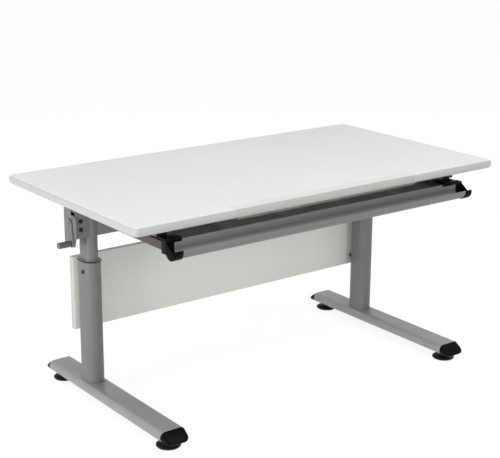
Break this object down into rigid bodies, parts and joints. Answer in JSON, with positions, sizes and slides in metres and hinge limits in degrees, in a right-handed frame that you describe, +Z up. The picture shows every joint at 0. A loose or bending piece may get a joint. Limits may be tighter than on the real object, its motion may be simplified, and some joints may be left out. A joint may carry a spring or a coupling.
{
  "type": "drawing desk",
  "caption": "Height-adjustable drawing desk on two C-shaped steel legs, with a white tilting board, crank drive, modesty panel and an aluminium pencil gutter on a shallow drawer",
  "frame": {"origin": "on the floor under the middle of the desk's overall box", "axes": "+X to the right of the person at the desk, -Y towards that person, +Z up"},
  "size_m": [1.2, 0.665, 0.596],
  "materials": {
    "white_melamine": "satin",
    "clear_acrylic": "polished",
    "grey_powder_coat": "satin",
    "brown_grey_powder_coat": "satin",
    "anodised_aluminium": "satin",
    "black_plastic": "matte",
    "grey_plastic": "matte",
    "black_steel": "satin",
    "zinc_steel": "satin",
    "bronze": "satin",
    "black_rubber": "matte"
  },
  "bodies": {
    "base": {"foot_beam_left": "grey_powder_coat", "foot_beam_right": "grey_powder_coat", "foot_caps_front": "black_plastic", "foot_caps_rear": "black_plastic", "glide_bushes": "zinc_steel", "outer_column_left": "grey_powder_coat", "outer_column_right": "grey_powder_coat", "column_collars": "black_plastic", "collar_screws": "black_steel", "column_bolts": "zinc_steel", "nut_posts": "zinc_steel", "spindle_nuts": "bronze", "modesty_panel": "white_melamine", "panel_spacers": "black_plastic", "panel_screws": "zinc_steel"},
    "lift_frame": {"inner_column_left": "grey_powder_coat", "inner_column_right": "grey_powder_coat", "guide_shoes": "black_plastic", "bearing_blocks": "zinc_steel", "head_plugs": "zinc_steel", "crossbar": "grey_powder_coat", "gear_housing_left": "grey_powder_coat", "gear_housing_right": "grey_powder_coat", "end_plate_left": "grey_powder_coat", "end_plate_right": "grey_powder_coat", "housing_bolts": "black_steel", "shaft_bushes": "bronze", "support_arm_left": "grey_powder_coat", "support_arm_right": "grey_powder_coat", "arm_plugs": "black_plastic", "arm_bolts": "zinc_steel", "hinge_pins": "zinc_steel", "rest_buffers": "black_rubber", "drawer_runners": "zinc_steel", "stay_clamps": "black_plastic"},
    "board": {"board_top": "white_melamine", "edge_strip": "clear_acrylic", "hinge_bracket_left": "zinc_steel", "hinge_bracket_right": "zinc_steel", "tilt_stay_left": "zinc_steel", "tilt_stay_right": "zinc_steel", "board_screws": "zinc_steel"},
    "drawer": {"drawer_sides": "brown_grey_powder_coat", "drawer_back": "brown_grey_powder_coat", "drawer_tray": "grey_plastic", "pencil_gutter": "anodised_aluminium", "gutter_caps": "black_plastic"},
    "crank": {"cross_shaft": "zinc_steel", "shaft_gears": "zinc_steel", "crank_arm": "grey_powder_coat", "grip_axle": "zinc_steel"},
    "grip": {"crank_grip": "grey_plastic"},
    "lead_screw_left": {"spindle_left": "zinc_steel"},
    "lead_screw_right": {"spindle_right": "zinc_steel"},
    "lever_left": {"clamp_lever_left": "black_plastic"},
    "lever_right": {"clamp_lever_right": "black_plastic"},
    "glide_fl": {"glide_front_left": "black_plastic"},
    "glide_fr": {"glide_front_right": "black_plastic"},
    "glide_rl": {"glide_rear_left": "black_plastic"},
    "glide_rr": {"glide_rear_right": "black_plastic"}
  },
  "joints": [
    {"name": "lift_slide", "type": "slide", "parent": "base", "child": "lift_frame", "axis": [0, 0, 1], "range_m": [-0.064, 0.196]},
    {"name": "crank_turn", "type": "hinge", "parent": "lift_frame", "child": "crank", "pos_m": [0, 0.1025, 0.498], "axis": [1, 0, 0], "range_deg": [-2880, 8820]},
    {"name": "grip_spin", "type": "hinge", "parent": "crank", "child": "grip", "pos_m": [-0.567, 0.0921, 0.44909], "axis": [1, 0, 0], "continuous": true},
    {"name": "lead_screw_left_turn", "type": "hinge", "parent": "lift_frame", "child": "lead_screw_left", "pos_m": [-0.487, 0.1025, 0.3], "axis": [0, 0, 1], "range_deg": [-8820, 2880]},
    {"name": "lead_screw_right_turn", "type": "hinge", "parent": "lift_frame", "child": "lead_screw_right", "pos_m": [0.487, 0.1025, 0.3], "axis": [0, 0, 1], "range_deg": [-2880, 8820]},
    {"name": "board_tilt", "type": "hinge", "parent": "lift_frame", "child": "board", "pos_m": [0, -0.2425, 0.554], "axis": [1, 0, 0], "range_deg": [0, 18]},
    {"name": "lever_left_turn", "type": "hinge", "parent": "lift_frame", "child": "lever_left", "pos_m": [-0.272, 0.04875, 0.522], "axis": [-1, 0, 0], "range_deg": [0, 60]},
    {"name": "lever_right_turn", "type": "hinge", "parent": "lift_frame", "child": "lever_right", "pos_m": [0.272, 0.04875, 0.522], "axis": [-1, 0, 0], "range_deg": [0, 60]},
    {"name": "drawer_slide", "type": "slide", "parent": "lift_frame", "child": "drawer", "axis": [0, -1, 0], "range_m": [0, 0.16]},
    {"name": "glide_fl_screw", "type": "slide", "parent": "base", "child": "glide_fl", "axis": [0, 0, -1], "range_m": [0, 0.01]},
    {"name": "glide_fr_screw", "type": "slide", "parent": "base", "child": "glide_fr", "axis": [0, 0, -1], "range_m": [0, 0.01]},
    {"name": "glide_rl_screw", "type": "slide", "parent": "base", "child": "glide_rl", "axis": [0, 0, -1], "range_m": [0, 0.01]},
    {"name": "glide_rr_screw", "type": "slide", "parent": "base", "child": "glide_rr", "axis": [0, 0, -1], "range_m": [0, 0.01]}
  ],
  "couplings": [
    {"joint": "crank_turn", "follows": "lift_slide", "rad_per_m": 785.4},
    {"joint": "lead_screw_left_turn", "follows": "lift_slide", "rad_per_m": -785.4},
    {"joint": "lead_screw_right_turn", "follows": "lift_slide", "rad_per_m": 785.4}
  ]
}
